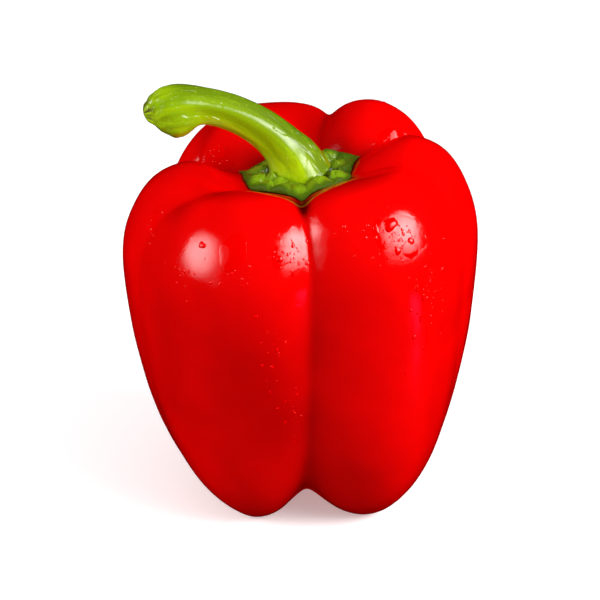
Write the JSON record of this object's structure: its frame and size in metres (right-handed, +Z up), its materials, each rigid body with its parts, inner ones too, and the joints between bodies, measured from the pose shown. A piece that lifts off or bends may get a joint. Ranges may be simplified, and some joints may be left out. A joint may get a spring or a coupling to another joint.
{
  "type": "bell pepper",
  "caption": "Blocky red bell pepper with rounded lobes, a deep well round a pointed green cap and a thick stem that bends over to one side, standing upright.",
  "frame": {"origin": "centre of the box round the pepper, on the surface that it stands on", "axes": "+Z up along the pepper's axis from the feet to the stem, -Y to the front of the picture, +X to its right; the stem bends towards -X"},
  "size_m": [0.0886, 0.0854, 0.1093],
  "materials": {
    "skin": "waxy, glossy red skin",
    "cap": "knobbly green cap with a soft sheen",
    "stem": "smooth ribbed yellow-green stem"
  },
  "bodies": {
    "root": {"fruit": "skin", "calyx": "cap", "stem": "stem"}
  },
  "joints": []
}
